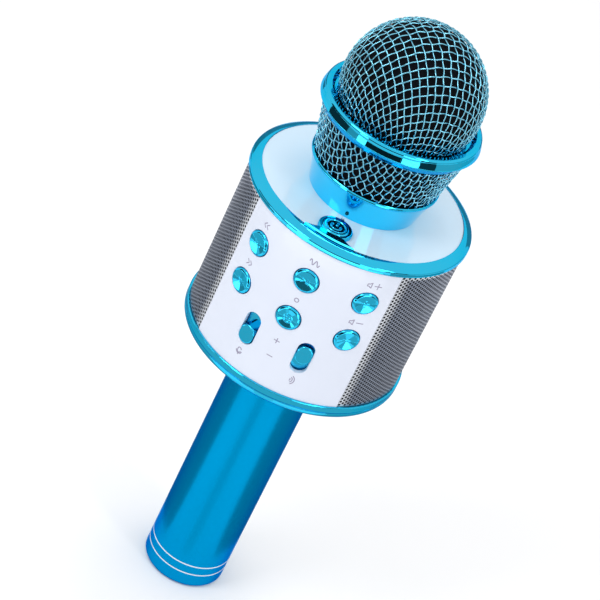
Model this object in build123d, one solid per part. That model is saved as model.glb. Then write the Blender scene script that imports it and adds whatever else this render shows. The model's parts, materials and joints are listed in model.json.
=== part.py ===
from build123d import *
import math
import os

# Hand-held karaoke microphone with a loudspeaker drum under its head.
# Frame: origin at the centre of the tail's flat end, +Z up the handle to the head, control panel towards -Y.
# Azimuths are in degrees round +Z, with 0 at the control panel (-Y) and 90 at +X. Lengths are millimetres.

# Driving dimensions
totalLength = 254.7
drumRadius = 42.0
drumLow = 120.0          # lower edge of the panels
drumHigh = 181.0         # upper edge of the panels
handleRadius = 16.0
panelRadius = 41.3
panelWall = 1.8
panelHalfAngle = 43.0
buttonAzimuth = 30.7
upperRow = 167.4
lowerRow = 150.5
buttonRadius = 4.5
sliderAzimuth = 14.9
sliderMiddle = 137.7
plateTop = 184.4
collarTop = 195.2
domeRadius = 25.9
cellRadius = 9.2         # 18650 cell
cellLength = 65.0

# Worked out from them
gap = 0.1                # between pieces that are fixed to each other
panelInside = panelRadius - panelWall
domeCentre = totalLength - domeRadius
bandLow = collarTop + 20.1
bandHigh = bandLow + 6.6
tubeWall = 1.2
tubeInside = handleRadius - tubeWall
tubeTop = drumLow + 8.0
spigotRadius = handleRadius - 0.8     # the tube's narrower top end, inside the drum
spigotLow = 112.5
tubeSocket = spigotRadius + 0.05
capHeight = 6.4
ringWidth = 0.6
upperRingZ = 10.5
floorLow = drumLow + 0.2
floorHigh = floorLow + 2.0
deckLow = drumHigh - 5.0
deckHigh = deckLow + 2.0
chassisRadius = 39.0
postAzimuths = (panelHalfAngle, 180 - panelHalfAngle, 180 + panelHalfAngle, -panelHalfAngle)
plateRadius = 38.1
plateLow = plateTop - 2.2
powerY = -31.0
powerRadius = 4.95
powerHole = powerRadius + 0.2
lightY = -22.4
boardRadius = 32.2       # outer face of the curved control board
speakerZ = (drumLow + drumHigh) / 2
baffleX = 29.0
mainBoardY = 20.0
portZ = 137.0
sideX = 14.0             # audio and charging sockets, either side of the USB socket
cardZ = 127.6
buttonHole = buttonRadius + 0.3
holeRounding = 0.2
grooveDepth = 0.25
slotWidth = 6.2
slotLength = 13.5
padWidth = slotWidth - 0.5
padLength = 7.5
knobFace = 42.0
coverLength = 2 * slotLength - padLength   # the cover strip still fills the slot at both ends of the travel
screwCircle = 35.5
screwRadius = 1.2

LOW = (Align.CENTER, Align.CENTER, Align.MIN)
LOW_EDGE = (Align.CENTER, Align.MIN, Align.MIN)


def inSection(point):
    return (point[0], 0, point[1])


def turned(start, *steps):
    # a solid of revolution; a step is an (r, z) point, or a pair of them for an arc through the first
    edges = []
    here = start
    for step in steps:
        if isinstance(step[0], tuple):
            middle, end = step
            edges.append(ThreePointArc(inSection(here), inSection(middle), inSection(end)))
        else:
            end = step
            edges.append(Line(inSection(here), inSection(end)))
        here = end
    if here != start:
        edges.append(Line(inSection(here), inSection(start)))
    return revolve(make_face(edges), Axis.Z)


def capArc(rim, rimZ, topZ):
    # arc of a ball centred on the axis, from (rim, rimZ) to the axis at topZ
    rise = topZ - rimZ
    ball = (rim * rim + rise * rise) / (2 * abs(rise))
    drop = math.copysign(ball - math.sqrt(ball * ball - rim * rim / 4), rise)
    return ((rim / 2, topZ - drop), (0, topZ))


def disc(radius, low, high):
    return Pos(0, 0, low) * Cylinder(radius, high - low, align=LOW)


def tube(inside, outside, low, high):
    return disc(outside, low, high) - disc(inside, low - 1, high + 1)


def sector(inside, outside, low, high, start, end):
    # an upright curved wall between two azimuths
    outline = Polyline((inside, 0, low), (outside, 0, low), (outside, 0, high), (inside, 0, high), close=True)
    return Rot(0, 0, start - 90) * revolve(make_face(outline), Axis.Z, end - start)


def facing(azimuth, radius, z):
    # a place on the drum's side: local Z points outward, local Y points up
    turn = math.radians(azimuth)
    outward = (math.sin(turn), -math.cos(turn), 0)
    sideways = (math.cos(turn), math.sin(turn), 0)
    centre = (radius * outward[0], radius * outward[1], z)
    return Plane(origin=centre, x_dir=sideways, z_dir=outward).location


def outward(side):
    # a place on the loudspeaker axis: local Z points out through the left (-1) or right (+1) grille
    return Pos(0, 0, speakerZ) * Rot(0, 90 * side, 0)


def stadium(width, length, low, high):
    # a slot-shaped block, long in Y, lying between two heights
    outline = Rot(0, 0, 90) * SlotOverall(length, width)
    return Pos(0, 0, low) * extrude(outline, high - low)


# Handle

def handleTube():
    body = tube(tubeInside - 0.6, handleRadius, capHeight + ringWidth + gap / 2, spigotLow)
    body += tube(tubeInside - 0.6, spigotRadius, spigotLow - 1, tubeTop)
    body -= disc(tubeInside, 0, spigotLow - 3)
    groove = tube(handleRadius - 0.4, handleRadius + 1, upperRingZ, upperRingZ + ringWidth)
    return body - groove


def tailCap():
    edge = 1.9
    corner = edge * (1 - math.sqrt(0.5))
    cap = turned(
        (0, 0),
        (handleRadius - edge, 0),
        ((handleRadius - corner, corner), (handleRadius, edge)),
        (handleRadius, capHeight),
        (tubeInside - gap, capHeight),
        (tubeInside - gap, 13.0),
        (11.0, 13.0),
        (11.0, 4.0),
        (0, 4.0),
    )
    return cap


def tailRing(low):
    inside = tubeInside if low < upperRingZ else handleRadius - 0.35
    return tube(inside, handleRadius + 0.02, low + 0.02, low + ringWidth - 0.02)


def batteryCell():
    low = 22.0
    body = disc(cellRadius, low, low + cellLength - 1.5)
    cap = disc(3.0, low + cellLength - 1.5, low + cellLength)
    return body + cap


def batterySleeve():
    return tube(cellRadius + gap, tubeInside - 0.2, 18.0, 84.0)


def batteryBoard():
    return disc(cellRadius, 87.6, 88.8) + Pos(0, 0, 88.8) * Box(7, 5, 1.4, align=LOW)


def handleNut():
    # hexagonal nut that clamps the tube to the drum's floor
    nut = Pos(0, 0, floorHigh + 0.05) * extrude(RegularPolygon(21.5, 6), 4.2)
    return nut - disc(tubeSocket, floorHigh - 1, floorHigh + 6)


# Drum shell

def lowerRing():
    inside = plateRadius + gap
    return turned(
        (inside, 114.2),
        (39.4, 114.2),
        ((41.4, 115.2), (drumRadius, 117.2)),
        (drumRadius - grooveDepth, 117.3),
        (drumRadius - grooveDepth, 117.5),
        (drumRadius, 117.6),
        (drumRadius, 119.5),
        ((41.88, 119.82), (41.55, drumLow - 0.05)),
        (inside, drumLow - 0.05),
    )


def bottomPlate():
    plate = turned(
        (tubeSocket, spigotLow + gap),
        (18.6, spigotLow + gap),
        ((19.4, 113.0), (19.8, 114.0)),
        (plateRadius, 115.4),
        (plateRadius, 117.6),
        (20.5, 117.6),
        (20.5, floorLow - gap),
        (tubeSocket, floorLow - gap),
    )
    for azimuth in postAzimuths:
        plate -= screwPlace(azimuth) * disc(screwRadius + 0.05, 110, 120)
        plate -= screwPlace(azimuth) * disc(2.45, 110, 116.6)
    return plate


def screwPlace(azimuth):
    turn = math.radians(azimuth)
    return Pos(screwCircle * math.sin(turn), -screwCircle * math.cos(turn), 0)


def bottomScrews():
    screws = []
    for azimuth in postAzimuths:
        head = disc(2.2, 115.2, 116.55)
        shank = disc(screwRadius, 116.55, 128.0)
        recess = Pos(0, 0, 115.0) * (Box(2.6, 0.6, 0.9, align=LOW) + Box(0.6, 2.6, 0.9, align=LOW))
        screws.append(screwPlace(azimuth) * (head + shank - recess))
    return Compound(screws)


def drumChassis():
    body = disc(chassisRadius, floorLow, floorHigh) - disc(tubeSocket, floorLow - 1, floorHigh + 1)
    deck = disc(chassisRadius, deckLow, deckHigh) - disc(9.0, deckLow - 1, deckHigh + 1)
    body += deck
    for azimuth in postAzimuths:
        post = facing(azimuth, 33.0, floorHigh) * Box(5.0, deckLow - floorHigh, 6.0, align=LOW_EDGE)
        body += post
        body -= screwPlace(azimuth) * disc(screwRadius + 0.05, floorLow - 1, 130)
    for side in (-1, 1):
        wall = Pos(side * (baffleX - 1), 0, floorHigh) * Box(2.0, 48.0, deckLow - floorHigh, align=LOW)
        opening = outward(side) * disc(14.8, baffleX - 4, baffleX + 2)
        body += wall - opening
    return body


def frontPanel():
    panel = sector(panelInside, panelRadius, drumLow, drumHigh - 0.05, -panelHalfAngle, panelHalfAngle)
    for azimuth in (-buttonAzimuth, 0, buttonAzimuth):
        for z in (upperRow, lowerRow):
            panel -= facing(azimuth, 36.0, z) * disc(buttonHole, 0, 8)
    for azimuth in (-sliderAzimuth, sliderAzimuth):
        panel -= facing(azimuth, 36.0, sliderMiddle) * stadium(slotWidth, slotLength, 0, 8)
    return fillet([edge for edge in panel.edges() if onHoleRim(edge)], holeRounding)


def onHoleRim(edge):
    # on the panel's outer face, and away from the panel's own four sides
    middle = edge @ 0.5
    onFace = abs(math.hypot(middle.X, middle.Y) - panelRadius) < 0.01
    return onFace and drumLow + 3 < middle.Z < drumHigh - 3 and abs(middle.X) < panelRadius * 0.65


def rearPanel():
    panel = sector(panelInside, panelRadius, drumLow, drumHigh - 0.05, 180 - panelHalfAngle, 180 + panelHalfAngle)
    rear = facing(180, 30.0, portZ)
    panel -= rear * Box(13.4, 6.0, 20, align=LOW)
    panel -= rear * Pos(0, cardZ - portZ, 0) * Box(12.6, 2.4, 20, align=LOW)
    panel -= rear * Pos(sideX, 0, 0) * disc(3.1, 0, 20)
    panel -= rear * Pos(-sideX, 0, 0) * Box(8.6, 3.6, 20, align=LOW)
    panel -= rear * Pos(-sideX, 6.5, 0) * disc(1.2, 0, 20)
    return panel


def grille(centre):
    half = 90 - panelHalfAngle - 0.4
    return sector(40.6, 41.1, drumLow + gap, drumHigh - gap, centre - half, centre + half)


def dustCloth(centre):
    half = 90 - panelHalfAngle - 0.6
    return sector(40.0, 40.4, drumLow + gap, drumHigh - gap, centre - half, centre + half)


# Loudspeakers: local Z is the outward axis

def speakerBasket():
    return turned(
        (8.0, 19.1),
        (9.5, 19.1),
        (14.6, 27.4),
        (14.6, baffleX + 0.05),
        (17.5, baffleX + 0.05),
        (17.5, baffleX + 1.6),
        (14.2, baffleX + 1.6),
        (14.2, 28.8),
        (8.0, 19.9),
    )


def speakerMagnet():
    ring = tube(4.5, 9.5, 13.0, 19.05)
    yoke = disc(9.5, 11.8, 13.0)
    pole = disc(3.1, 12.5, 19.4)
    return ring + yoke + pole


def speakerCone():
    # voice coil former, paper cone, dust cap and rubber surround
    return turned(
        (3.5, 15.6),
        (4.1, 15.6),
        (4.1, 22.2),
        (13.2, 28.9),
        (13.9, 29.4),
        (13.9, 29.8),
        ((13.3, 30.3), (12.7, 29.4)),
        (6.0, 24.6),
        capArc(6.0, 24.6, 26.8),
        (0, 26.2),
        (3.5, 25.2),
    )


# Electronics

def mainBoard():
    board = Pos(0, mainBoardY + 0.8, floorHigh + 0.4) * Box(40, 1.6, 50, align=LOW)
    chips = [(-11, 150, 9, 9), (6, 160, 14, 18), (-12, 166, 6, 5), (12, 145, 5, 5), (-4, 143, 5, 7)]
    for x, z, width, height in chips:
        board += Pos(x, mainBoardY - 0.5, z) * Box(width, 1.2, height)
    return board


def controlBoard():
    reach = 37.0
    return sector(boardRadius - 1.2, boardRadius, floorHigh + 0.6, deckLow - 0.4, -reach, reach)


def tactSwitch(place):
    body = Box(6.0, 6.0, 3.2, align=LOW)
    plunger = disc(1.75, 3.2, 3.7)
    return place * (body + plunger)


def tactSwitches():
    switches = []
    for azimuth in (-buttonAzimuth, 0, buttonAzimuth):
        for z in (upperRow, lowerRow):
            switches.append(tactSwitch(facing(azimuth, boardRadius + 0.05, z)))
    return Compound(switches)


def slidePot(azimuth):
    body = Box(7.0, 24.0, 3.6, align=LOW)
    groove = Pos(0, 0, 1.2) * Box(2.4, 12.0, 4.0, align=LOW)
    return facing(azimuth, boardRadius + 0.05, sliderMiddle) * (body - groove)


def portSocket(x, z, width, height, wall, reach):
    # an open metal shell that stands on the main board and faces the rear
    base = mainBoardY + 1.65
    body = Box(width, height, reach - base, align=LOW)
    cavity = Pos(0, 0, 2.5) * Box(width - 2 * wall, height - 2 * wall, reach, align=LOW)
    return facing(180, base, z) * Pos(-x, 0, 0) * (body - cavity)


def usbSocket():
    shell = portSocket(0, portZ, 13.2, 5.7, 0.3, panelRadius - 0.5)
    tongue = facing(180, mainBoardY + 3, portZ) * Pos(0, 1.3, 0) * Box(11.4, 1.9, 15, align=LOW)
    return shell + tongue


def cardSocket():
    return portSocket(0, cardZ, 12.2, 2.0, 0.3, panelRadius - 0.6)


def chargeSocket():
    shell = portSocket(sideX, portZ, 8.0, 3.0, 0.3, 38.4)
    tongue = facing(180, mainBoardY + 3, portZ) * Pos(-sideX, 0.4, 0) * Box(4.6, 0.6, 14, align=LOW)
    return shell + tongue


def audioSocket():
    base = mainBoardY + 1.65
    body = Box(8.0, 7.0, 12.4, align=LOW)
    nose = disc(3.0, 12.4, 38.6 - base)
    bore = disc(1.8, 38.6 - base - 14.0, 20)
    return facing(180, base, portZ) * Pos(sideX, 0, 0) * (body + nose - bore)


def chargeLight():
    base = mainBoardY + 1.65
    return facing(180, base, portZ + 6.5) * Pos(-sideX, 0, 0) * disc(1.1, 0, 38.6 - base)


# Controls

def buttonCap(azimuth, z, symbol):
    # the cap moves along local Z, and its flange keeps it behind the panel
    cap = disc(buttonRadius, 38.6, knobFace)
    cap = fillet(cap.edges().sort_by(Axis.Z)[-1], 0.5)
    flange = disc(5.5, 37.8, 38.6)
    stem = disc(1.5, 36.7, 37.8)
    sunken = Pos(0, 0, knobFace - 0.25) * extrude(symbol, 1)
    return facing(azimuth, 0, z) * (cap + flange + stem - sunken)


def arrowhead(x, size):
    return Pos(x, 0) * Rot(0, 0, -90) * Triangle(a=size * 1.1, b=size, c=size)


def bar(x, width=0.6, height=2.6):
    return Pos(x, 0) * Rectangle(width, height)


def skipSymbol(direction):
    symbol = arrowhead(-0.9, 2.2) + arrowhead(0.9, 2.2) + bar(2.1)
    return Rot(0, 0, 0 if direction > 0 else 180) * symbol


def playSymbol():
    return arrowhead(-1.0, 2.6) + bar(0.9) + bar(2.0)


def recordSymbol():
    return Circle(1.9) - Circle(1.3) + Circle(0.7)


def plusSymbol():
    return Rectangle(3.4, 0.8) + Rectangle(0.8, 3.4)


def minusSymbol():
    return Sketch() + Rectangle(3.4, 0.8)


def sliderKnob(azimuth, rest):
    # thumb pad, cover strip behind the panel, and the lever that enters the potentiometer
    pad = stadium(padWidth, padLength, 38.8, knobFace)
    pad = fillet(pad.faces().sort_by(Axis.Z)[-1].edges(), 0.4)
    strip = Pos(0, 0, 38.0) * Box(8.0, coverLength, 0.8, align=LOW)
    lever = Pos(0, 0, 34.4) * Box(1.8, 3.0, 3.6, align=LOW)
    return facing(azimuth, 0, rest) * (pad + strip + lever)


# Top of the drum

def topBezel():
    ring = turned(
        (37.3, 180.0),
        (39.2, 180.0),
        (39.2, drumHigh),
        (41.55, drumHigh),
        ((41.95, drumHigh + 0.25), (drumRadius, drumHigh + 0.7)),
        (drumRadius, 182.5),
        ((41.86, 182.95), (41.5, 183.25)),
        ((40.1, 184.15), (38.2, 184.75)),
        (38.2, plateLow - 0.05),
        (37.3, plateLow - 0.05),
    )
    eyeRadius = 6.3
    eye = Pos(0, powerY) * Circle(eyeRadius)
    rim = 38.6
    spread = 14.5
    foot = (rim * math.sin(math.radians(spread)), -rim * math.cos(math.radians(spread)))
    neck = (4.9, powerY - 4.2)
    bridge = make_face([
        ThreePointArc(foot, (6.2, powerY - 5.1), neck),
        Line(neck, (-neck[0], neck[1])),
        ThreePointArc((-neck[0], neck[1]), (-6.2, powerY - 5.1), (-foot[0], foot[1])),
        ThreePointArc((-foot[0], foot[1]), (0, -rim), foot),
    ])
    tongue = Pos(0, 0, plateTop + 0.02) * extrude(eye + bridge, 1.45)
    top = tongue.faces().sort_by(Axis.Z)[-1]
    tongue = fillet(top.edges().filter_by(lambda edge: edge.center().Y > powerY - 6.5), 0.6)
    bezel = ring + tongue
    return bezel - Pos(0, powerY, 0) * disc(powerHole, plateTop - 1, 190)


def topPlate():
    plate = disc(plateRadius, plateLow, plateTop) - disc(18.0, plateLow - 1, plateTop + 1)
    plate -= Pos(0, powerY, 0) * disc(powerHole, plateLow - 1, plateTop + 1)
    return plate - Pos(0, lightY, 0) * disc(0.8, plateLow - 1, plateTop + 1)


def powerButton():
    face = plateTop + 1.75
    cap = turned(
        (0, 181.3),
        (5.7, 181.3),
        (5.7, plateLow - 0.3),
        (powerRadius, plateLow - 0.3),
        (powerRadius, face - 0.4),
        ((powerRadius - 0.12, face - 0.12), (powerRadius - 0.4, face)),
        (4.2, face),
        capArc(4.2, face, face - 0.6),
    )
    return Pos(0, powerY, 0) * cap


def powerSwitch():
    body = Pos(0, powerY, deckHigh + 0.05) * Box(6.0, 6.0, 2.2, align=LOW)
    return body + Pos(0, powerY, 0) * disc(1.75, deckHigh + 2.2, deckHigh + 2.7)


def powerLight():
    return Pos(0, lightY, 0) * disc(0.75, deckHigh + 0.05, plateTop - 0.4)


# Head

def collar():
    spigot = 17.9
    return turned(
        (9.5, deckHigh + 0.05),
        (spigot, deckHigh + 0.05),
        (spigot, plateTop + 0.05),
        (20.6, plateTop + 0.05),
        ((21.9, 189.8), (23.7, collarTop)),
        (19.4, collarTop),
        (19.4, 187.0),
        (9.5, 187.0),
    )


def capsuleHolder():
    return turned(
        (9.0, 180.0),
        (9.4, 180.0),
        (9.4, 187.05),
        (11.0, 187.05),
        (11.0, 203.0),
        (8.15, 203.0),
        (8.15, 194.0),
        (4.0, 194.0),
        (4.0, 187.05),
        (9.0, 187.05),
    )


def micCapsule():
    body = disc(8.0, 194.05, 205.0)
    body = chamfer(body.edges().sort_by(Axis.Z)[-1], 0.6)
    for index in range(6):
        turn = math.radians(60 * index)
        body -= Pos(4.6 * math.cos(turn), 4.6 * math.sin(turn), 0) * disc(0.9, 204.0, 206)
    return body


def headSeal():
    return tube(14.5, 19.1, 187.1, 189.4)


def headBaseRing():
    lip = collarTop + 1.5
    return turned(
        (17.6, 189.5),
        (19.32, 189.5),
        (19.32, collarTop + 0.05),
        (23.8, collarTop + 0.05),
        ((24.15, collarTop + 0.75), (23.8, lip)),
        (17.6, lip),
    )


def lowerMesh():
    low = collarTop + 1.55
    return turned((22.6, low), (23.6, low), (27.6, bandLow - 0.05), (26.6, bandLow - 0.05))


def bandRing():
    return turned(
        (24.0, bandLow),
        (27.8, bandLow),
        (29.65, bandLow + 2.5),
        ((29.9, bandLow + 2.9), (29.88, bandLow + 3.3)),
        ((29.62, bandLow + 4.4), (29.2, bandLow + 5.5)),
        ((28.85, bandLow + 6.3), (28.0, bandHigh)),
        (26.9, bandHigh),
        (25.6, bandLow + 5.2),
        (25.6, bandLow + 4.6),
        (24.0, bandLow + 4.6),
    )


def onDome(radius, z):
    return math.sqrt(radius * radius - (z - domeCentre) ** 2)


def domeMesh():
    low = bandLow + 4.7
    inside = domeRadius - 1.0
    slope = math.sqrt(0.5)
    return turned(
        (onDome(inside, low), low),
        (onDome(domeRadius, low), low),
        ((domeRadius * slope, domeCentre + domeRadius * slope), (0, totalLength)),
        (0, totalLength - 1.0),
        ((inside * slope, domeCentre + inside * slope), (onDome(inside, low), low)),
    )


def foamWindscreen():
    outside = domeRadius - 1.5
    waistZ = bandLow + 5.0
    waist = onDome(outside, waistZ)
    slope = math.sqrt(0.5)
    return turned(
        (14.6, collarTop + 1.6),
        (22.0, collarTop + 1.6),
        (waist, bandLow - 0.4),
        (waist, waistZ),
        ((outside * slope, domeCentre + outside * slope), (0, domeCentre + outside)),
        (0, domeCentre + 4.0),
        (14.6, domeCentre - 2.0),
    )


def parts():
    yield "handle_tube", handleTube()
    yield "tail_cap", tailCap()
    yield "tail_ring_lower", tailRing(capHeight)
    yield "tail_ring_upper", tailRing(upperRingZ)
    yield "battery_cell", batteryCell()
    yield "battery_sleeve", batterySleeve()
    yield "battery_board", batteryBoard()
    yield "handle_nut", handleNut()
    yield "lower_ring", lowerRing()
    yield "bottom_plate", bottomPlate()
    yield "bottom_screws", bottomScrews()
    yield "drum_chassis", drumChassis()
    yield "front_panel", frontPanel()
    yield "rear_panel", rearPanel()
    for name, side in (("left", -1), ("right", 1)):
        yield "grille_" + name, grille(90 * side)
        yield "dust_cloth_" + name, dustCloth(90 * side)
        yield "speaker_basket_" + name, outward(side) * speakerBasket()
        yield "speaker_magnet_" + name, outward(side) * speakerMagnet()
        yield "speaker_cone_" + name, outward(side) * speakerCone()
        yield "slide_pot_" + name, slidePot(sliderAzimuth * side)
    yield "main_board", mainBoard()
    yield "control_board", controlBoard()
    yield "tact_switches", tactSwitches()
    yield "usb_socket", usbSocket()
    yield "card_socket", cardSocket()
    yield "audio_socket", audioSocket()
    yield "charge_socket", chargeSocket()
    yield "charge_light", chargeLight()
    yield "button_previous", buttonCap(-buttonAzimuth, upperRow, skipSymbol(-1))
    yield "button_next", buttonCap(-buttonAzimuth, lowerRow, skipSymbol(1))
    yield "button_play", buttonCap(0, upperRow, playSymbol())
    yield "button_record", buttonCap(0, lowerRow, recordSymbol())
    yield "button_volume_up", buttonCap(buttonAzimuth, upperRow, plusSymbol())
    yield "button_volume_down", buttonCap(buttonAzimuth, lowerRow, minusSymbol())
    yield "slider_knob_left", sliderKnob(-sliderAzimuth, sliderMiddle - 2.4)
    yield "slider_knob_right", sliderKnob(sliderAzimuth, sliderMiddle + 1.6)
    yield "top_bezel", topBezel()
    yield "top_plate", topPlate()
    yield "power_button", powerButton()
    yield "power_switch", powerSwitch()
    yield "power_light", powerLight()
    yield "collar", collar()
    yield "capsule_holder", capsuleHolder()
    yield "mic_capsule", micCapsule()
    yield "head_seal", headSeal()
    yield "head_base_ring", headBaseRing()
    yield "lower_mesh", lowerMesh()
    yield "band_ring", bandRing()
    yield "dome_mesh", domeMesh()
    yield "foam_windscreen", foamWindscreen()


os.makedirs("parts", exist_ok=True)
for node, shape in parts():
    export_step(shape, "parts/" + node + ".step")
    print(node)
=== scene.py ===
import json
import math

import bmesh
import bpy
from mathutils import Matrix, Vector, noise


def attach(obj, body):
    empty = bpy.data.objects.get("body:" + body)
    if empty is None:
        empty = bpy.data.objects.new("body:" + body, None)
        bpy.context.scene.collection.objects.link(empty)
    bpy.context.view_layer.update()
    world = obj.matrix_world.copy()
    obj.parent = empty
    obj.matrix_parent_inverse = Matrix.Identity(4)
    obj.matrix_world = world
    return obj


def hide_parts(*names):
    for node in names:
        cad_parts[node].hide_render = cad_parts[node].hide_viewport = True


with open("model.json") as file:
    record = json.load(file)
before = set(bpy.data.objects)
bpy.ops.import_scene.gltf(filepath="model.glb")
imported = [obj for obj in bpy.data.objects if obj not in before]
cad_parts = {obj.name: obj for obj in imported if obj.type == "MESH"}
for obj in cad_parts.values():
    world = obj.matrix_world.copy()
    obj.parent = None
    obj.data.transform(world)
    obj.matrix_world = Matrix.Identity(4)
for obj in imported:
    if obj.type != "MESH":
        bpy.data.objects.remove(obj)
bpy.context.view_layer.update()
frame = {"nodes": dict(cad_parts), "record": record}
nodes = frame["nodes"]
mm = 0.001
print("frame loaded,", len(nodes), "nodes")


class Wire:
    # one output of a node; arithmetic on it adds Math nodes
    def __init__(self, finish, socket):
        self.finish, self.socket = finish, socket

    def other(self, name):
        return Wire(self.finish, self.socket.node.outputs[name])

    def maths(self, operation, *terms):
        return self.finish.node("ShaderNodeMath", {"operation": operation}, dict(enumerate(terms)))

    def __add__(self, term):
        return self.maths("ADD", self, term)

    def __radd__(self, term):
        return self.maths("ADD", term, self)

    def __sub__(self, term):
        return self.maths("SUBTRACT", self, term)

    def __rsub__(self, term):
        return self.maths("SUBTRACT", term, self)

    def __mul__(self, term):
        return self.maths("MULTIPLY", self, term)

    def __rmul__(self, term):
        return self.maths("MULTIPLY", term, self)

    def __truediv__(self, term):
        return self.maths("DIVIDE", self, term)

    def __rtruediv__(self, term):
        return self.maths("DIVIDE", term, self)


class Finish:
    # one material, its Principled shader and the nodes that feed it
    def __init__(self, name, **shaderValues):
        self.material = bpy.data.materials.new(name)
        self.material.use_nodes = True
        self.tree = self.material.node_tree
        self.tree.nodes.clear()
        self.shader = self.tree.nodes.new("ShaderNodeBsdfPrincipled")
        output = self.tree.nodes.new("ShaderNodeOutputMaterial")
        self.tree.links.new(self.shader.outputs[0], output.inputs[0])
        self.wear({name.replace("_", " "): value for name, value in shaderValues.items()})

    def feed(self, socket, value):
        if isinstance(value, Wire):
            self.tree.links.new(value.socket, socket)
        elif socket.type == "RGBA" and len(value) == 3:
            socket.default_value = (*value, 1)
        else:
            socket.default_value = value

    def wear(self, values):
        for name, value in values.items():
            self.feed(self.shader.inputs[name], value)
        return self

    def node(self, kind, settings=None, sockets=None, output=0):
        made = self.tree.nodes.new(kind)
        for name, value in (settings or {}).items():
            setattr(made, name, value)
        for name, value in (sockets or {}).items():
            self.feed(made.inputs[name], value)
        return Wire(self, made.outputs[output])

    def place(self, stretch=(1, 1, 1)):
        # a point on the piece, in metres, stretched along each axis
        here = self.node("ShaderNodeTexCoord", output="Object")
        return self.node("ShaderNodeVectorMath", {"operation": "MULTIPLY"}, {0: here, 1: stretch})

    def speckle(self, size, detail=2, stretch=(1, 1, 1)):
        # noise from 0 to 1, with grains of about that size in metres
        return self.node("ShaderNodeTexNoise", {}, {"Vector": self.place(stretch), "Scale": 1 / size,
                                                    "Detail": detail})

    def cells(self, size):
        # distance to the nearest edge between cells of about that size in metres
        return self.node("ShaderNodeTexVoronoi", {"feature": "DISTANCE_TO_EDGE"},
                         {"Vector": self.place(), "Scale": 1 / size})

    def between(self, mask, low, high):
        # the middle part of a noise, spread from low to high
        return self.node("ShaderNodeMapRange", {}, {"Value": mask, "From Min": 0.3, "From Max": 0.7,
                                                    "To Min": low, "To Max": high})

    def tint(self, mask, first, second):
        return self.node("ShaderNodeMix", {"data_type": "RGBA"}, {0: mask, 6: first, 7: second}, output=2)

    def bump(self, height, strength, depth):
        return self.node("ShaderNodeBump", {}, {"Height": height, "Strength": strength, "Distance": depth})


def metalPlate(name, colour, roughness, coat=0.0, grain=0.00025, lumps=0.0, edge=(1, 1, 1)):
    # plated or lacquered metal with faint polish marks
    finish = Finish(name, Metallic=1.0, Specular_Tint=edge, Coat_Weight=coat, Coat_Roughness=0.02)
    haze = finish.speckle(0.012, 3)
    fine = finish.speckle(grain, 2)
    paler = tuple(min(1, c * 1.06 + 0.004) for c in colour)
    finish.wear({"Base Color": finish.tint(haze, colour, paler),
                 "Roughness": finish.between(haze * 0.7 + fine * 0.3, roughness * 0.7, roughness * 1.4)})
    if lumps:
        finish.wear({"Normal": finish.bump(fine * 0.3 + haze, lumps, 0.00002)})
    return finish.material


def satinMetal(name, look):
    # bead-blasted and anodised tube: fine even grain, a little darker and rougher in patches
    finish = Finish(name, Metallic=1.0, Specular_Tint=look["edge"])
    grain = finish.speckle(look["grain"], 2)
    patches = finish.speckle(0.02, 4, (1, 1, 0.35))
    drawn = finish.speckle(0.0008, 3, (1, 1, 0.02))
    darker = tuple(c * 0.9 for c in look["colour"])
    finish.wear({"Base Color": finish.tint(patches * 0.7 + drawn * 0.3, darker, look["colour"]),
                 "Roughness": finish.between(patches * 0.5 + grain * 0.5, look["smooth"], look["rough"]),
                 "Normal": finish.bump(grain, 0.12, 0.00003)})
    return finish.material


def mouldedPlastic(name, colour, roughness, coat=0.0, texture=0.0004, relief=0.05):
    # moulded plastic: slight colour drift, faint flow and a fine skin
    finish = Finish(name, Coat_Weight=coat, Coat_Roughness=0.04)
    drift = finish.speckle(0.03, 3)
    skin = finish.speckle(texture, 2)
    shade = tuple(c * 0.95 for c in colour)
    finish.wear({"Base Color": finish.tint(drift, shade, colour),
                 "Roughness": finish.between(drift * 0.6 + skin * 0.4, roughness * 0.8, roughness * 1.25),
                 "Normal": finish.bump(skin + drift * 2, relief, 0.00002)})
    return finish.material


def wovenCloth(name, colour, thread=0.0004):
    # close dust cloth: over and under threads in both directions, darker in the low gaps between threads as
    # painted shade
    finish = Finish(name, Sheen_Weight=0.2)
    across = finish.node("ShaderNodeTexWave", {"bands_direction": "Z"},
                         {"Vector": finish.place(), "Scale": 0.3 / thread, "Distortion": 0.4})
    along = finish.node("ShaderNodeTexWave", {"bands_direction": "Y"},
                        {"Vector": finish.place(), "Scale": 0.3 / thread, "Distortion": 0.4})
    threadsWithGapShade = across * along
    fuzz = finish.speckle(thread, 3)
    lighter = tuple(c * 2.2 + 0.004 for c in colour)
    # painted shade: the raised threads lighter, the gaps between them darker
    finish.wear({"Base Color": finish.tint(threadsWithGapShade * 0.7 + fuzz * 0.3, colour, lighter),
                 "Roughness": finish.between(fuzz, 0.8, 0.98),
                 "Normal": finish.bump(threadsWithGapShade + fuzz * 0.4, 0.6, 0.0001)})
    return finish.material


def openFoam(name, colour):
    # windscreen foam: open pores at two sizes, the pore hollows coloured darker than their rims as painted
    # shade
    finish = Finish(name, Specular_IOR_Level=0.1)
    pores = finish.cells(0.0009)
    small = finish.speckle(0.0004, 4)
    rimsAndPoreShade = finish.node("ShaderNodeMapRange", {}, {"Value": pores, "From Min": 0.0, "From Max": 0.25,
                                                  "To Min": 1.0, "To Max": 0.0})
    lighter = tuple(c * 2.2 + 0.001 for c in colour)
    # painted shade: the pore hollows darker, the rims lighter
    finish.wear({"Base Color": finish.tint(rimsAndPoreShade * 0.7 + small * 0.3, colour, lighter),
                 "Roughness": finish.between(small, 0.85, 1.0),
                 "Normal": finish.bump(rimsAndPoreShade + small * 0.5, 0.8, 0.0004)})
    return finish.material


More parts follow.
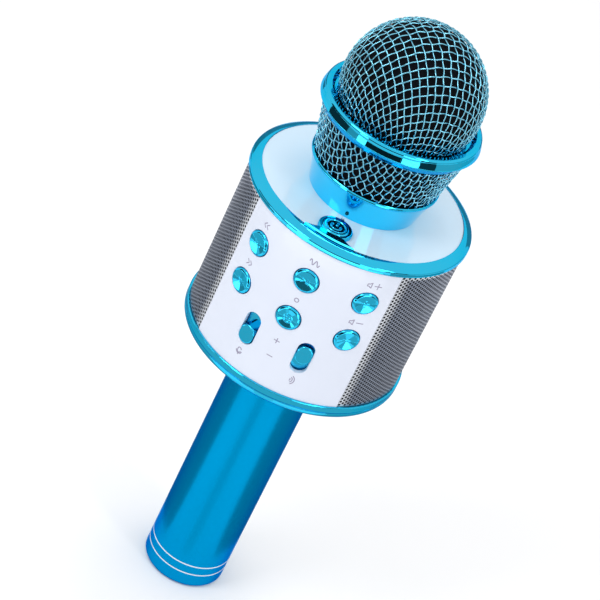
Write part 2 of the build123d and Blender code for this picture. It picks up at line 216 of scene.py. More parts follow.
def circuitBoard(name):
    # green lacquer with paler copper lines under it
    finish = Finish(name, Coat_Weight=0.4, Coat_Roughness=0.2)
    tracks = finish.cells(0.0035)
    line = finish.node("ShaderNodeMapRange", {}, {"Value": tracks, "From Min": 0.02, "From Max": 0.05})
    finish.wear({"Base Color": finish.tint(line, (0.07, 0.30, 0.13), (0.02, 0.16, 0.06)),
                 "Roughness": finish.between(finish.speckle(0.0005), 0.3, 0.45),
                 "Normal": finish.bump(line, 0.3, 0.00004)})
    return finish.material


handleLook = {
    "colour": (0.0, 0.325, 0.66),
    "edge": (0.0, 0.40, 0.85),
    "grain": 0.00016,
    "smooth": 0.22,
    "rough": 0.30,
}
finishes = {
    "blue_anodised": satinMetal("anodisedBlue", handleLook),
    "blue_plated": metalPlate("platedBlue", (0.025, 0.55, 0.84), 0.05, coat=0.15, lumps=0.05,
                              edge=(0.1, 0.6, 0.9)),
    "wire_blue": metalPlate("wireBlue", (0.20, 0.60, 0.78), 0.25, coat=0.8),
    "bright_trim": metalPlate("brightTrim", (0.80, 0.86, 0.92), 0.10),
    "steel": metalPlate("plainSteel", (0.56, 0.57, 0.60), 0.28, lumps=0.1),
    "grille_steel": metalPlate("grilleSilver", (0.19, 0.215, 0.26), 0.38, lumps=0.1),
    "magnet_grey": metalPlate("magnetGrey", (0.12, 0.12, 0.13), 0.5, lumps=0.3),
    "cell_wrap": mouldedPlastic("cellWrap", (0.10, 0.30, 0.15), 0.3, coat=0.3),
    "white_gloss": mouldedPlastic("glossWhite", (0.75, 0.80, 0.92), 0.16, coat=0.4),
    "frame_black": mouldedPlastic("frameBlack", (0.02, 0.02, 0.024), 0.45),
    "cone_black": mouldedPlastic("coneBlack", (0.03, 0.03, 0.034), 0.6, relief=0.3),
    "rubber_black": mouldedPlastic("rubberBlack", (0.015, 0.015, 0.017), 0.8, relief=0.3),
    "light_lens": mouldedPlastic("lightLens", (0.02, 0.025, 0.04), 0.1, coat=1.0),
    "cloth_black": wovenCloth("dustCloth", (0.004, 0.004, 0.006)),
    "foam_black": openFoam("windscreenFoam", (0.002, 0.003, 0.005)),
    "board_green": circuitBoard("circuitBoard"),
}
print("finishes made:", len(finishes))

# every node wears the finish of its slot
slotOf = {}
for part in frame["record"]["subparts"]:
    if part.get("material_slot") in finishes:
        slotOf[part.get("node")] = part["material_slot"]


def dress(piece, material):
    piece.data.materials.clear()
    piece.data.materials.append(material)
    return piece


def smoothed(piece, angle=35):
    # rounded faces shade smooth, real edges stay crisp
    for face in piece.data.polygons:
        face.use_smooth = True
    limit = math.radians(angle)
    mesh = bmesh.new()
    mesh.from_mesh(piece.data)
    for edge in mesh.edges:
        edge.smooth = not edge.is_manifold or edge.calc_face_angle(0) < limit
    mesh.to_mesh(piece.data)
    mesh.free()
    return piece


def newPiece(name, points, faces, body, slot, material=None):
    mesh = bpy.data.meshes.new(name)
    mesh.from_pydata([tuple(p) for p in points], [], faces)
    mesh.update()
    piece = bpy.data.objects.new(name, mesh)
    bpy.context.scene.collection.objects.link(piece)
    dress(piece, material or finishes[slot])
    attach(piece, body)
    return piece


def spot(azimuth, radius, height):
    # azimuth in degrees from the front, towards +X
    turn = math.radians(azimuth)
    return Vector((radius * math.sin(turn), -radius * math.cos(turn), height))


for name, node in nodes.items():
    slot = slotOf.get(name)
    dress(node, finishes[slot] if slot else finishes["frame_black"])
# the collar wears a lighter copy of the plated blue: painted light for its brighter reflections
dress(nodes["collar"], metalPlate("platedCollarPaintedLight", (0.025, 0.66, 0.98), 0.05, coat=0.3, lumps=0.05))
# the top plate's white gloss is tinted blue as a painted reflection of the blue head
dress(nodes["top_plate"], mouldedPlastic("topPlateGlossPaintedReflection", (0.66, 0.83, 0.97), 0.08, coat=0.4))
print("nodes dressed:", len(slotOf))


# woven wire: a flat square net laid over the ball, each wire going over and under
weave = {
    "pitch": 3.08 * mm,
    "wireRadius": 0.23 * mm,
    "crimp": 0.24 * mm,
    "sway": 0.10 * mm,
    "turn": 39,            # azimuth that the wires line up with
    "reach": 19,           # wires on each side of the middle one
    "stepsPerCell": 6,
    "sides": 8,
    "ballRadius": 25.36 * mm,
    "ballCentre": 228.8 * mm,
    "domeBottom": 220.35 * mm,
    "edgePolar": math.radians(125),   # no wire is laid further down the ball than this
}


def netPoint(u, v):
    # grid place to polar angle and azimuth on the ball, in radians
    span = math.hypot(u, v) * weave["pitch"] / weave["ballRadius"]
    return span, math.atan2(v, u) + math.radians(weave["turn"])


def onDome(u, v, lift):
    polar, azimuth = netPoint(u, v)
    radius = weave["ballRadius"] + lift
    across = radius * math.sin(polar)
    return Vector((across * math.sin(azimuth), -across * math.cos(azimuth),
                   weave["ballCentre"] + radius * math.cos(polar)))


# the same flat net, carried on down to the cup under the band ring
lowerNet = {
    "low": 196.9 * mm,
    "high": 215.2 * mm,
    "lowRadius": 23.14 * mm,
    "highRadius": 27.08 * mm,
    "lowPolar": math.radians(66),
    "highPolar": math.radians(107.5),
    "crimp": 0.34 * mm,
    "sway": 0.24 * mm,
}


def onCup(u, v, lift):
    polar, azimuth = netPoint(u, v)
    share = (polar - lowerNet["lowPolar"]) / (lowerNet["highPolar"] - lowerNet["lowPolar"])
    across = lowerNet["lowRadius"] + share * (lowerNet["highRadius"] - lowerNet["lowRadius"]) + lift
    height = lowerNet["low"] + share * (lowerNet["high"] - lowerNet["low"])
    return Vector((across * math.sin(azimuth), -across * math.cos(azimuth), height))


def wireRuns(lay, low, high, crimp, sway):
    # the runs of every wire, cut where they leave the band between low and high
    runs = []
    reach, steps = weave["reach"], weave["stepsPerCell"]
    for family in (0, 1):
        for fixed in range(-reach, reach + 1):
            run = []
            for tick in range(-reach * steps, reach * steps + 1):
                along = tick / steps
                under = math.cos(math.pi * along) * (-1) ** fixed * (1 if family else -1)
                side = fixed + sway / weave["pitch"] * math.sin(math.pi * along) * (-1) ** fixed
                grid = (along, side) if family else (side, along)
                inside = netPoint(*grid)[0] < weave["edgePolar"]
                point = lay(*grid, under * crimp) if inside else None
                if point is not None and low <= point.z <= high:
                    run.append(point)
                else:
                    if len(run) > 2:
                        runs.append(run)
                    run = []
            if len(run) > 2:
                runs.append(run)
    return runs


def sweptWires(runs, radius, sides):
    points, faces = [], []
    for run in runs:
        first = len(points)
        frameUp = None
        for k, here in enumerate(run):
            ahead = run[min(k + 1, len(run) - 1)] - run[max(k - 1, 0)]
            ahead.normalize()
            if frameUp is None:
                frameUp = ahead.orthogonal()
            frameUp = (frameUp - ahead * frameUp.dot(ahead)).normalized()
            aside = ahead.cross(frameUp)
            for s in range(sides):
                turn = 2 * math.pi * s / sides
                points.append(here + radius * (math.cos(turn) * frameUp + math.sin(turn) * aside))
        for k in range(len(run) - 1):
            ring = first + k * sides
            for s in range(sides):
                t = (s + 1) % sides
                faces.append((ring + s, ring + t, ring + sides + t, ring + sides + s))
        faces.append(tuple(first + s for s in reversed(range(sides))))
        last = first + (len(run) - 1) * sides
        faces.append(tuple(last + s for s in range(sides)))
    return points, faces


runs = wireRuns(onDome, weave["domeBottom"], 1, weave["crimp"], weave["sway"])
wires = sweptWires(runs, weave["wireRadius"], weave["sides"])
domeWeave = newPiece("dome_weave", *wires, "head", "wire_blue")
smoothed(domeWeave, 60)
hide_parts("dome_mesh")
print("dome woven from", len(runs), "runs of wire")

runs = wireRuns(onCup, lowerNet["low"], lowerNet["high"], lowerNet["crimp"], lowerNet["sway"])
wires = sweptWires(runs, weave["wireRadius"], weave["sides"])
cupWeave = newPiece("cup_weave", *wires, "head", "wire_blue")
smoothed(cupWeave, 60)
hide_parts("lower_mesh")
print("cup woven from", len(runs), "runs of wire")


# base ring of the head, with the thread it unscrews by cut in its skirt
baseRing = {
    "inside": 17.6,          # these are in mm
    "skirt": 19.32,
    "low": 189.5,
    "shoulder": 195.25,
    "lipRadius": 0.926,
    "lipCentre": (23.224, 195.975),
    "lipHalfAngle": 51.5,
    "lipSteps": 8,
    "lead": 2.0,
    "grooveDepth": 0.5,
    "threadLow": 189.9,
    "threadHigh": 194.7,
    "runOut": 0.5,
    "rows": 46,
    "around": 144,
}


def baseRingPoints(size):
    # the section goes up the skirt, round the lip and back down the bore
    rise = (size["shoulder"] - size["low"]) / size["rows"]
    section = [(size["inside"], size["low"])]
    section += [(size["skirt"], size["low"] + rise * k) for k in range(size["rows"] + 1)]
    for k in range(size["lipSteps"] + 1):
        turn = math.radians(size["lipHalfAngle"] * (2 * k / size["lipSteps"] - 1))
        section.append((size["lipCentre"][0] + size["lipRadius"] * math.cos(turn),
                        size["lipCentre"][1] + size["lipRadius"] * math.sin(turn)))
    section.append((size["inside"], section[-1][1]))
    points, faces, around = [], [], size["around"]
    for radius, height in section:
        ends = min(height - size["threadLow"], size["threadHigh"] - height) / size["runOut"]
        depth = size["grooveDepth"] * min(1, max(0, ends)) if radius == size["skirt"] else 0
        for k in range(around):
            phase = (height / size["lead"] - k / around) % 1
            cut = depth * min(1, max(0, 1.5 - 3 * abs(2 * phase - 1)))
            points.append(spot(360 * k / around, (radius - cut) * mm, height * mm))
    for row in range(len(section)):
        a, b = row * around, (row + 1) % len(section) * around
        faces += [(a + k, a + (k + 1) % around, b + (k + 1) % around, b + k) for k in range(around)]
    return points, faces


threadedRing = newPiece("base_ring", *baseRingPoints(baseRing), "head", slotOf["head_base_ring"])
smoothed(threadedRing, 40)
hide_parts("head_base_ring")
print("thread cut")


# foam behind the wires, with an uneven open surface
foam = {
    "ballRadius": 24.35 * mm,
    "ballCentre": 228.8 * mm,
    "waistRadius": 22.8 * mm,
    "waistHigh": 220.3 * mm,
    "waistLow": 214.9 * mm,
    "bottom": 196.85 * mm,
    "bottomRadius": 21.9 * mm,
    "hollowRadius": 14.65 * mm,
    "hollowTop": 226.0 * mm,
    "shoulder": 4 * mm,       # drop from the hollow's top to its side
    "shoulderShare": 0.6,
    "ballRings": 60,
    "waistRings": 5,
    "coneRings": 25,
    "pits": 0.45 * mm,
    "poreSize": 1.1 * mm,
    "finerPores": 2.3,        # times smaller, and half as deep
    "around": 220,
}


def foamOutline():
    # radius, height and whether it is pitted: down the outside, under, and up inside the hollow
    outline = []
    polarEnd = math.acos((foam["waistHigh"] - foam["ballCentre"]) / foam["ballRadius"])
    rings = foam["ballRings"]
    for k in range(1, rings + 1):
        polar = polarEnd * k / rings
        outline.append((foam["ballRadius"] * math.sin(polar),
                        foam["ballCentre"] + foam["ballRadius"] * math.cos(polar), True))
    drop = foam["waistLow"] - foam["waistHigh"]
    rings = foam["waistRings"]
    for k in range(1, rings + 1):
        outline.append((foam["waistRadius"], foam["waistHigh"] + drop * k / rings, True))
    rings = foam["coneRings"]
    for k in range(1, rings + 1):
        share = k / rings
        outline.append((foam["waistRadius"] + (foam["bottomRadius"] - foam["waistRadius"]) * share,
                        foam["waistLow"] + (foam["bottom"] - foam["waistLow"]) * share, k < rings))
    outline.append((foam["hollowRadius"], foam["bottom"], False))
    outline.append((foam["hollowRadius"], foam["hollowTop"] - foam["shoulder"], False))
    outline.append((foam["hollowRadius"] * foam["shoulderShare"], foam["hollowTop"], False))
    return outline


def foamPoints(outline, around):
    # the outline turned round the axis, with its pitted rings pushed in unevenly
    points, faces = [], []
    for radius, height, pitted in outline:
        for k in range(around):
            here = spot(360 * k / around, radius, height)
            if pitted:
                grain = here / foam["poreSize"]
                push = noise.noise(grain) + 0.5 * noise.noise(grain * foam["finerPores"])
                middle = height if height < foam["waistHigh"] else foam["ballCentre"]
                outward = (here - Vector((0, 0, middle))).normalized()
                here = here - outward * foam["pits"] * min(1, max(0, 0.5 + push))
            points.append(here)
    rows = len(outline)
    for row in range(rows - 1):
        for k in range(around):
            n = (k + 1) % around
            a, b = row * around, (row + 1) * around
            faces.append((a + n, a + k, b + k, b + n))
    top = len(points)
    points.append(Vector((0, 0, outline[0][1] + 0.01 * mm)))
    points.append(Vector((0, 0, outline[-1][1])))
    last = (rows - 1) * around
    for k in range(around):
        n = (k + 1) % around
        faces.append((top, k, n))
        faces.append((top + 1, last + n, last + k))
    return points, faces


foamPad = newPiece("foam_pad", *foamPoints(foamOutline(), foam["around"]), "head", "foam_black")
smoothed(foamPad, 70)
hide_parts("foam_windscreen")
print("foam made")


# perforated speaker sheets: one square cell for each hole, odd columns half a cell up
grille = {
    "outerRadius": 41.08 * mm,
    "thickness": 0.18 * mm,
    "low": 120.15 * mm,
    "high": 180.85 * mm,
    "fromAzimuth": 43.45,
    "toAzimuth": 136.55,
    "columns": 57,
    "rows": 41,
    "holeRadius": 0.51 * mm,
    "corners": 16,
    "paint": (0.25, 0.285, 0.36),
    "borderColour": (0.80, 0.84, 0.90),
    "brightFrom": 26.8 * mm,      # the lighter border starts this far towards a panel
    "sideFade": 2.2 * mm,
    "brightAbove": 179.0 * mm,    # and this high up
    "topFade": 0.6 * mm,
}


def perforated(side):
    points, faces, known = [], [], {}
    fullArc = math.radians(grille["toAzimuth"] - grille["fromAzimuth"]) * grille["outerRadius"]
    wide = fullArc / grille["columns"]
    tall = (grille["high"] - grille["low"]) / grille["rows"]
    corners = grille["corners"]

    def put(across, up):
        # a point on the sheet, made once and shared by its neighbours
        key = (round(across * 1e7), round(up * 1e7))
        if key not in known:
            azimuth = grille["fromAzimuth"] + math.degrees(across / grille["outerRadius"])
            known[key] = len(points)
            points.append(spot(side * azimuth, grille["outerRadius"], grille["low"] + up))
        return known[key]

    def rim(step):
        # points on a cell's square edge, evenly spread
        turn = step / corners * 8
        whole = int(turn) % 8
        part = turn - int(turn)
        square = [(1, 0), (1, 1), (0, 1), (-1, 1), (-1, 0), (-1, -1), (0, -1), (1, -1)]
        a, b = square[whole], square[(whole + 1) % 8]
        return a[0] + (b[0] - a[0]) * part, a[1] + (b[1] - a[1]) * part

    for column in range(grille["columns"]):
        # one cell for each hole, and half cells that fill the ends of the odd columns
        middle = (column + 0.5) * wide
        odd = column % 2
        for row in range(grille["rows"] - odd):
            centre = (row + 0.5 + 0.5 * odd) * tall
            outer, inner = [], []
            for step in range(corners):
                x, y = rim(step)
                outer.append(put(middle + x * wide / 2, centre + y * tall / 2))
                turn = math.atan2(y, x)
                inner.append(put(middle + grille["holeRadius"] * math.cos(turn),
                                 centre + grille["holeRadius"] * math.sin(turn)))
            for step in range(corners):
                n = (step + 1) % corners
                faces.append((inner[step], outer[step], outer[n], inner[n]))
        if odd:
            for start in (0, (grille["rows"] - 0.5) * tall):
                low = [put(middle + (k - 2) * wide / 4, start) for k in range(5)]
                mid = [put(middle - wide / 2, start + tall / 4), put(middle + wide / 2, start + tall / 4)]
                top = [put(middle + (k - 2) * wide / 4, start + tall / 2) for k in range(5)]
                faces.append(tuple(low + [mid[1]] + top[::-1] + [mid[0]]))
    if side < 0:
        faces = [face[::-1] for face in faces]
    return points, faces


def punchedSheet():
    # painted grey, with a lighter colour along the borders
    finish = Finish("grilleSilver", Metallic=0.85)
    here = finish.node("ShaderNodeSeparateXYZ", {}, {0: finish.place()})
    towardsPanel = (here.maths("ABSOLUTE", here.other("Y")) - grille["brightFrom"]) / grille["sideFade"]
    towardsTop = (here.other("Z") - grille["brightAbove"]) / grille["topFade"]
    bright = finish.node("ShaderNodeClamp", {}, {"Value": here.maths("MAXIMUM", towardsPanel, towardsTop)})
    haze = finish.speckle(0.01, 3)
    grain = finish.speckle(0.0003, 2)
    paint = finish.tint(haze, grille["paint"], tuple(c * 1.15 for c in grille["paint"]))
    finish.wear({"Base Color": finish.tint(bright, paint, grille["borderColour"]),
                 "Roughness": finish.between(grain * 0.6 + haze * 0.4, 0.30, 0.46),
                 "Normal": finish.bump(grain, 0.1, 0.00002)})
    return finish.material


sheetFinish = punchedSheet()
for side, label in ((-1, "left"), (1, "right")):
    sheet = newPiece("grille_sheet_" + label, *perforated(side), "drum", "grille_steel", sheetFinish)
    thick = sheet.modifiers.new("thickness", "SOLIDIFY")
    thick.thickness = grille["thickness"]
    thick.offset = -1
    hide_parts("grille_" + label)
print("speaker sheets punched")


# printed marks on the front panel, as thin raised ink
marks = {
    "radius": 41.315 * mm,
    "ink": 0.03 * mm,
    "lineWidth": 0.36 * mm,
    "colour": (0.27, 0.25, 0.36),
    "curveSteps": 3,           # per straight line, so that it follows the panel
    "upperRow": 175.4 * mm,
    "lowerRow": 158.6 * mm,
    "sliderRow": 127.4 * mm,
    "plusRow": 139.8 * mm,
    "minusRow": 132.8 * mm,
    "sideAzimuth": 30.7,
    "sliderAzimuth": 14.9,
    "plusSize": 2.3 * mm,
    "sideSize": 2.7 * mm,
    "waveSize": 3.2 * mm,
    "recordSize": 2.6 * mm,
    "sliderSize": 3.0 * mm,
}
inkFinish = Finish("printedInk", Roughness=0.35)
palerInk = tuple(c * 1.2 for c in marks["colour"])
inkFinish.wear({"Base Color": inkFinish.tint(inkFinish.speckle(0.0006, 3), marks["colour"], palerInk)})


def strokes(lines, azimuth, height, size):
    # each line is a list of flat points, drawn as a ribbon round the panel
    points, faces = [], []
    half, steps = marks["lineWidth"] / 2, marks["curveSteps"]
    for line in lines:
        corners = [Vector((x * size, y * size)) for x, y in line]
        flat = [a + (b - a) * k / steps for a, b in zip(corners, corners[1:]) for k in range(steps)]
        flat.append(corners[-1])
        start = len(points)
        for k, here in enumerate(flat):
            ahead = (flat[min(k + 1, len(flat) - 1)] - flat[max(k - 1, 0)]).normalized()
            aside = Vector((-ahead.y, ahead.x)) * half
            for edge in (here + aside, here - aside):
                around = azimuth + math.degrees(edge.x / marks["radius"])
                points.append(spot(around, marks["radius"], height + edge.y))
            if k:
                faces.append((start + 2 * k - 2, start + 2 * k - 1, start + 2 * k + 1, start + 2 * k))
    return points, faces


def arc(radius, start, end, steps, middle=(0, 0)):
    turns = [math.radians(start + (end - start) * k / steps) for k in range(steps + 1)]
    return [(middle[0] + radius * math.cos(turn), middle[1] + radius * math.sin(turn)) for turn in turns]


def shifted(lines, aside):
    return [[(x + aside, y) for x, y in line] for line in lines]


# signs as lines, one unit tall or so
plusSign = [[(-0.5, 0), (0.5, 0)], [(0, -0.5), (0, 0.5)]]
minusSign = [[(-0.5, 0), (0.5, 0)]]
speakerSign = [[(-0.45, 0.18), (-0.2, 0.18), (0.1, 0.45), (0.1, -0.45), (-0.2, -0.18), (-0.45, -0.18),
                (-0.45, 0.18)]]
chevron = [[(-0.2, 0.4), (0.2, 0), (-0.2, -0.4)]]
mirrored = [[(-x, y) for x, y in line] for line in chevron]
forwardSign = shifted(chevron, -0.25) + shifted(chevron, 0.25)
backSign = shifted(mirrored, -0.25) + shifted(mirrored, 0.25)
louderSign = shifted(speakerSign, -0.4) + shifted(plusSign, 0.6)
quieterSign = shifted(speakerSign, -0.4) + shifted(minusSign, 0.6)
micSign = [arc(0.22, 0, 180, 8, (0, 0.2)) + arc(0.22, 180, 360, 8, (0, -0.05)),
           arc(0.38, 180, 360, 10, (0, -0.02)), [(0, -0.4), (0, -0.6)]]
echoSign = shifted([arc(0.2, -60, 60, 6), arc(0.45, -60, 60, 8), arc(0.7, -60, 60, 10)], -0.4)
waveSign = [[(-0.6 + 0.1 * k, 0.35 * math.sin(k * math.pi / 3)) for k in range(13)]]
recordSign = [arc(0.3, 0, 360, 14)]
markList = {    # sign, azimuth, row and size
    "plus_mark": (plusSign, 0, "plusRow", "plusSize"),
    "minus_mark": (minusSign, 0, "minusRow", "plusSize"),
    "legend_back": (backSign, -marks["sideAzimuth"], "upperRow", "sideSize"),
    "legend_forward": (forwardSign, -marks["sideAzimuth"], "lowerRow", "sideSize"),
    "legend_wave": (waveSign, 0, "upperRow", "waveSize"),
    "legend_record": (recordSign, 0, "lowerRow", "recordSize"),
    "legend_louder": (louderSign, marks["sideAzimuth"], "upperRow", "sideSize"),
    "legend_quieter": (quieterSign, marks["sideAzimuth"], "lowerRow", "sideSize"),
    "legend_voice": (micSign, -marks["sliderAzimuth"], "sliderRow", "sliderSize"),
    "legend_echo": (echoSign, marks["sliderAzimuth"], "sliderRow", "sliderSize"),
}
for name, (lines, azimuth, row, size) in markList.items():
    ribbons = strokes(lines, azimuth, marks[row], marks[size])
    printed = newPiece(name, *ribbons, "drum", None, inkFinish.material)
    ink = printed.modifiers.new("ink", "SOLIDIFY")
    ink.thickness = marks["ink"]
print("marks printed:", len(markList))


# button caps: bevelled edge, shallow cone face, raised symbol
buttonCap = {
    "radius": 4.5,          # these are in mm
    "faceRadius": 3.7,
    "bevelDrop": 0.5,
    "coneDepth": 0.46,
    "faceAt": 41.99,
    "skirtAt": 38.7,
    "waistAt": 40.6,
    "relief": 0.22,
    "reliefEdge": 0.30,
    "rings": 46,
    "around": 144,
    "azimuth": 30.7,
    "upperRow": 167.4,
    "lowerRow": 150.5,
}


def block(x, y, wide, tall):
    return [(x - wide / 2, y - tall / 2), (x + wide / 2, y - tall / 2), (x + wide / 2, y + tall / 2),
            (x - wide / 2, y + tall / 2)]


def arrow(x, size, direction):
    back, tip = x - direction * size / 2, x + direction * size / 2
    shape = [(back, -size * 0.6), (tip, 0), (back, size * 0.6)]
    return shape if direction > 0 else shape[::-1]


def aboveShape(shape, x, y):
    # how far a place lies outside a convex outline or a ring; negative inside
    if not isinstance(shape[0], tuple):
        middle, half = shape[:2]
        opening = shape[2] if len(shape) > 2 else 0   # degrees left open either side of the top
        if abs(math.degrees(math.atan2(x, y))) < opening:
            return 9.0
        return abs(math.hypot(x, y) - middle) - half
    away = -9.0
    for (ax, ay), (bx, by) in zip(shape, shape[1:] + shape[:1]):
        long = math.hypot(bx - ax, by - ay)
        away = max(away, ((x - ax) * (by - ay) - (y - ay) * (bx - ax)) / long)
    return away


def capHeight(size, radius, x, y, symbol):
    cone = size["coneDepth"] * (radius / size["faceRadius"] - 1)
    if radius > size["faceRadius"]:
        slope = (radius - size["faceRadius"]) / (size["radius"] - size["faceRadius"])
        cone = -size["bevelDrop"] * slope ** 1.6
    away = min(aboveShape(shape, x, y) for shape in symbol)
    raised = min(1, max(0, 0.5 - away / size["reliefEdge"]))
    return cone + size["relief"] * raised * raised * (3 - 2 * raised)


def capPlace(azimuth, height):
    # origin, outward, aside and up directions of a cap on the drum
    turn = math.radians(azimuth)
    return (Vector((0, 0, height)), Vector((math.sin(turn), -math.cos(turn), 0)),
            Vector((math.cos(turn), math.sin(turn), 0)), Vector((0, 0, 1)))


def buttonPoints(place, size, symbol):
    origin, outward, aside, upward = place
    around = size["around"]
    reach = [size["radius"] * (k / size["rings"]) ** 0.9 for k in range(1, size["rings"] + 1)]
    ringList = [(radius, None) for radius in reach]
    ringList += [(size["radius"], size["waistAt"]), (size["radius"], size["skirtAt"])]

    def at(x, y, out):
        return mm * (origin + outward * out + aside * x + upward * y)

    points = [at(0, 0, size["faceAt"] + capHeight(size, 0, 0, 0, symbol)), at(0, 0, size["skirtAt"])]
    for radius, out in ringList:
        for k in range(around):
            x, y = radius * math.cos(2 * math.pi * k / around), radius * math.sin(2 * math.pi * k / around)
            points.append(at(x, y, out if out else size["faceAt"] + capHeight(size, radius, x, y, symbol)))
    faces = [(0, 2 + k, 2 + (k + 1) % around) for k in range(around)]
    for ring in range(len(ringList) - 1):
        a, b = 2 + ring * around, 2 + (ring + 1) * around
        faces += [(a + k, b + k, b + (k + 1) % around, a + (k + 1) % around) for k in range(around)]
    last = 2 + (len(ringList) - 1) * around
    faces += [(1, last + (k + 1) % around, last + k) for k in range(around)]
    return points, faces


symbols = {
    "previous": [arrow(-0.5, 1.4, -1), arrow(0.7, 1.4, -1), block(-1.5, 0, 0.35, 1.7)],
    "next": [arrow(0.5, 1.4, 1), arrow(-0.7, 1.4, 1), block(1.5, 0, 0.35, 1.7)],
    "play": [arrow(-0.9, 1.5, 1), block(0.45, 0, 0.4, 1.7), block(1.2, 0, 0.4, 1.7)],
    "record": [(1.5, 0.2), (0.3, 0.42)],
    "volume_up": [block(0, 0, 2.6, 0.5), block(0, 0, 0.5, 2.6)],
    "volume_down": [block(0, 0, 2.6, 0.5)],
}
buttonPlaces = {
    "previous": (-1, "upperRow"),
    "next": (-1, "lowerRow"),
    "play": (0, "upperRow"),
    "record": (0, "lowerRow"),
    "volume_up": (1, "upperRow"),
    "volume_down": (1, "lowerRow"),
}
for name, (side, row) in buttonPlaces.items():
    node = "button_" + name
    place = capPlace(side * buttonCap["azimuth"], buttonCap[row])
    cap = newPiece("cap_" + name, *buttonPoints(place, buttonCap, symbols[name]), node, "blue_plated")
    smoothed(cap, 50)
    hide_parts(node)

powerCap = {
    "radius": 4.92,
    "faceRadius": 4.3,
    "bevelDrop": 0.45,
    "coneDepth": 0.35,
    "faceAt": 186.14,
    "skirtAt": 182.4,
    "waistAt": 184.0,
    "relief": 0.26,
    "reliefEdge": 0.28,
    "rings": 50,
    "around": 160,
    "across": -31.0,
}
powerSymbol = [(3.5, 0.16), (1.75, 0.24, 55), block(0, 1.6, 0.5, 1.9)]
place = (Vector((0, powerCap["across"], 0)), Vector((0, 0, 1)), Vector((1, 0, 0)), Vector((0, 1, 0)))
cap = newPiece("cap_power", *buttonPoints(place, powerCap, powerSymbol), "power_button", "blue_plated")
smoothed(cap, 50)
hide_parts("power_button")
print("button caps pressed:", len(buttonPlaces) + 1)


# studio: pale floor, soft lights, white surround, and cards that only show in reflections
studio = {
    "surround": 0.88,
    "floorColour": (0.96, 0.96, 0.965),
    "floorSize": 3.0,
    "softboxes": (  # name, azimuth, elevation, distance, width, height, brightness
        ("keyLight", -42, 48, 0.9, 0.30, 0.30, 7.0),
        ("fillLight", 62, 40, 1.0, 0.16, 0.45, 5.0),
        ("topLight", 190, 72, 0.9, 0.30, 0.20, 6.0),
    ),
    "standingCards": (  # from and to azimuth, low and high edge, brightness
        (-84, -46, 0.12, 0.28, 0.04),
        (-46, -30, 0.12, 0.28, 0.45),
        (-30, -18, 0.12, 0.28, 3.0),
        (-18, 30, 0.12, 0.28, 0.02),
        (30, 52, 0.12, 0.28, 3.0),
        (52, 74, 0.12, 0.28, 0.05),
        (74, 140, 0.12, 0.28, 0.6),
        (150, 215, 0.12, 0.28, 0.35),
        (-150, -120, 0.12, 0.28, 0.3),
        (-84, -66, 0.0, 0.08, 0.8),
        (-66, -50, 0.0, 0.08, 3.2),
        (-50, -30, 0.0, 0.08, 0.4),
        (-30, -19, 0.0, 0.08, 3.2),
        (-19, 6, 0.0, 0.08, 0.16),
        (6, 36, 0.0, 0.08, 0.4),
        (36, 52, 0.0, 0.08, 3.2),
        (52, 84, 0.0, 0.08, 0.6),
    ),
    "cardRadius": 0.36,
    "cardStep": 4,           # degrees
    "floorCardHeight": 0.001,
    "lampTarget": 0.15,
    "floorCards": (  # from and to azimuth, inner and outer radius, brightness
        (68, 178, 0.035, 0.19, 0.50),
        (-166, -56, 0.035, 0.19, 0.50),
        (-4, 16, 0.035, 0.19, 0.86),
        (-62, 50, 0.26, 0.31, 0.50),
        (-180, 180, 0.19, 0.255, 0.62),
        (-44, 40, 0.313, 0.355, 2.4),
        (-130, -62, 0.26, 0.355, 0.35),
        (62, 125, 0.29, 0.355, 0.45),
    ),
}
floorFinish = Finish("paleFloor", Roughness=0.8, Specular_IOR_Level=0.0)
floorFinish.wear({"Base Color": floorFinish.tint(floorFinish.speckle(0.2, 3), studio["floorColour"],
                                                 tuple(min(1, c * 1.01) for c in studio["floorColour"]))})


def stagePiece(name, points, faces, material):
    mesh = bpy.data.meshes.new(name)
    mesh.from_pydata([tuple(p) for p in points], [], faces)
    piece = bpy.data.objects.new(name, mesh)
    bpy.context.scene.collection.objects.link(piece)
    dress(piece, material)
    return piece


half = studio["floorSize"] / 2
stagePiece("floor", [(-half, -half, 0), (half, -half, 0), (half, half, 0), (-half, half, 0)],
           [(0, 1, 2, 3)], floorFinish.material)


def reflectedCard(name, rows, brightness):
    # a card between two rows of points, seen by glossy rays alone
    glow = Finish(name, Base_Color=(0, 0, 0), Specular_IOR_Level=0.0, Roughness=1.0,
                  Emission_Color=(1, 1, 1), Emission_Strength=brightness)
    low, high = rows
    count = len(low)
    faces = [(k, k + 1, count + k + 1, count + k) for k in range(count - 1)]
    card = stagePiece(name, low + high, faces, glow.material)
    card.visible_camera = card.visible_diffuse = card.visible_shadow = False
    card.visible_transmission = card.visible_volume_scatter = False


def sweep(start, end, radius, height):
    steps = max(2, int(abs(end - start) / studio["cardStep"]))
    return [spot(start + (end - start) * k / steps, radius, height) for k in range(steps + 1)]


for k, (start, end, low, high, brightness) in enumerate(studio["standingCards"]):
    rows = [sweep(start, end, studio["cardRadius"], height) for height in (low, high)]
    reflectedCard("standing_card_%d" % k, rows, brightness)
for k, (start, end, inner, outer, brightness) in enumerate(studio["floorCards"]):
    rows = [sweep(start, end, radius, studio["floorCardHeight"]) for radius in (inner, outer)]
    reflectedCard("floor_card_%d" % k, rows, brightness)

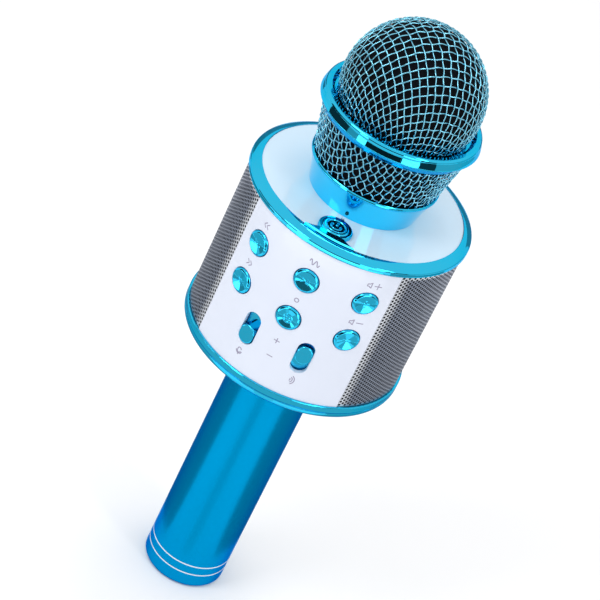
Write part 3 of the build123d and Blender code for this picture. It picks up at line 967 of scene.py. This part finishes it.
world = bpy.data.worlds.new("surround")
world.use_nodes = True
world.node_tree.nodes["Background"].inputs["Color"].default_value = (1, 1, 1, 1)
world.node_tree.nodes["Background"].inputs["Strength"].default_value = studio["surround"]
bpy.context.scene.world = world


def softbox(name, azimuth, elevation, distance, width, height, brightness):
    lamp = bpy.data.lights.new(name, "AREA")
    lamp.shape = "RECTANGLE"
    lamp.size, lamp.size_y = width, height
    lamp.energy = brightness * math.pi * width * height
    light = bpy.data.objects.new(name, lamp)
    bpy.context.scene.collection.objects.link(light)
    target = Vector((0, 0, studio["lampTarget"]))
    rise = math.radians(elevation)
    light.location = target + distance * (spot(azimuth, math.cos(rise), math.sin(rise)))
    light.rotation_euler = (target - light.location).to_track_quat("-Z", "Y").to_euler()


for lightValues in studio["softboxes"]:
    softbox(*lightValues)
print("studio set")

camera = {
    "azimuth": 6.2,
    "elevation": 33.65,
    "distance": 0.9649,
    "aimHeight": 0.13196,
    "roll": 26.17,
    "aside": (-0.00309, 0.00151),
    "lens": 160.3,
}
turn, rise, roll = (math.radians(camera[k]) for k in ("azimuth", "elevation", "roll"))
back = Vector((math.cos(rise) * math.sin(turn), -math.cos(rise) * math.cos(turn), math.sin(rise)))
right = Vector((math.cos(turn), math.sin(turn), 0))
up = back.cross(right)
cameraRight = math.cos(roll) * right + math.sin(roll) * up
cameraUp = -math.sin(roll) * right + math.cos(roll) * up
aim = Vector((0, 0, camera["aimHeight"])) + camera["aside"][0] * cameraRight + camera["aside"][1] * cameraUp
lens = bpy.data.cameras.new("camera")
lens.lens = camera["lens"]
lens.sensor_width = 36
cameraObject = bpy.data.objects.new("camera", lens)
bpy.context.scene.collection.objects.link(cameraObject)
basis = [cameraRight, cameraUp, back]
matrix = cameraObject.matrix_world.copy()
for column, axis in enumerate(basis):
    for row in range(3):
        matrix[row][column] = axis[row]
matrix.translation = aim + back * camera["distance"]
cameraObject.matrix_world = matrix
bpy.context.scene.camera = cameraObject
bpy.context.scene.view_settings.view_transform = "Standard"
print("camera placed")

bpy.context.view_layer.update()
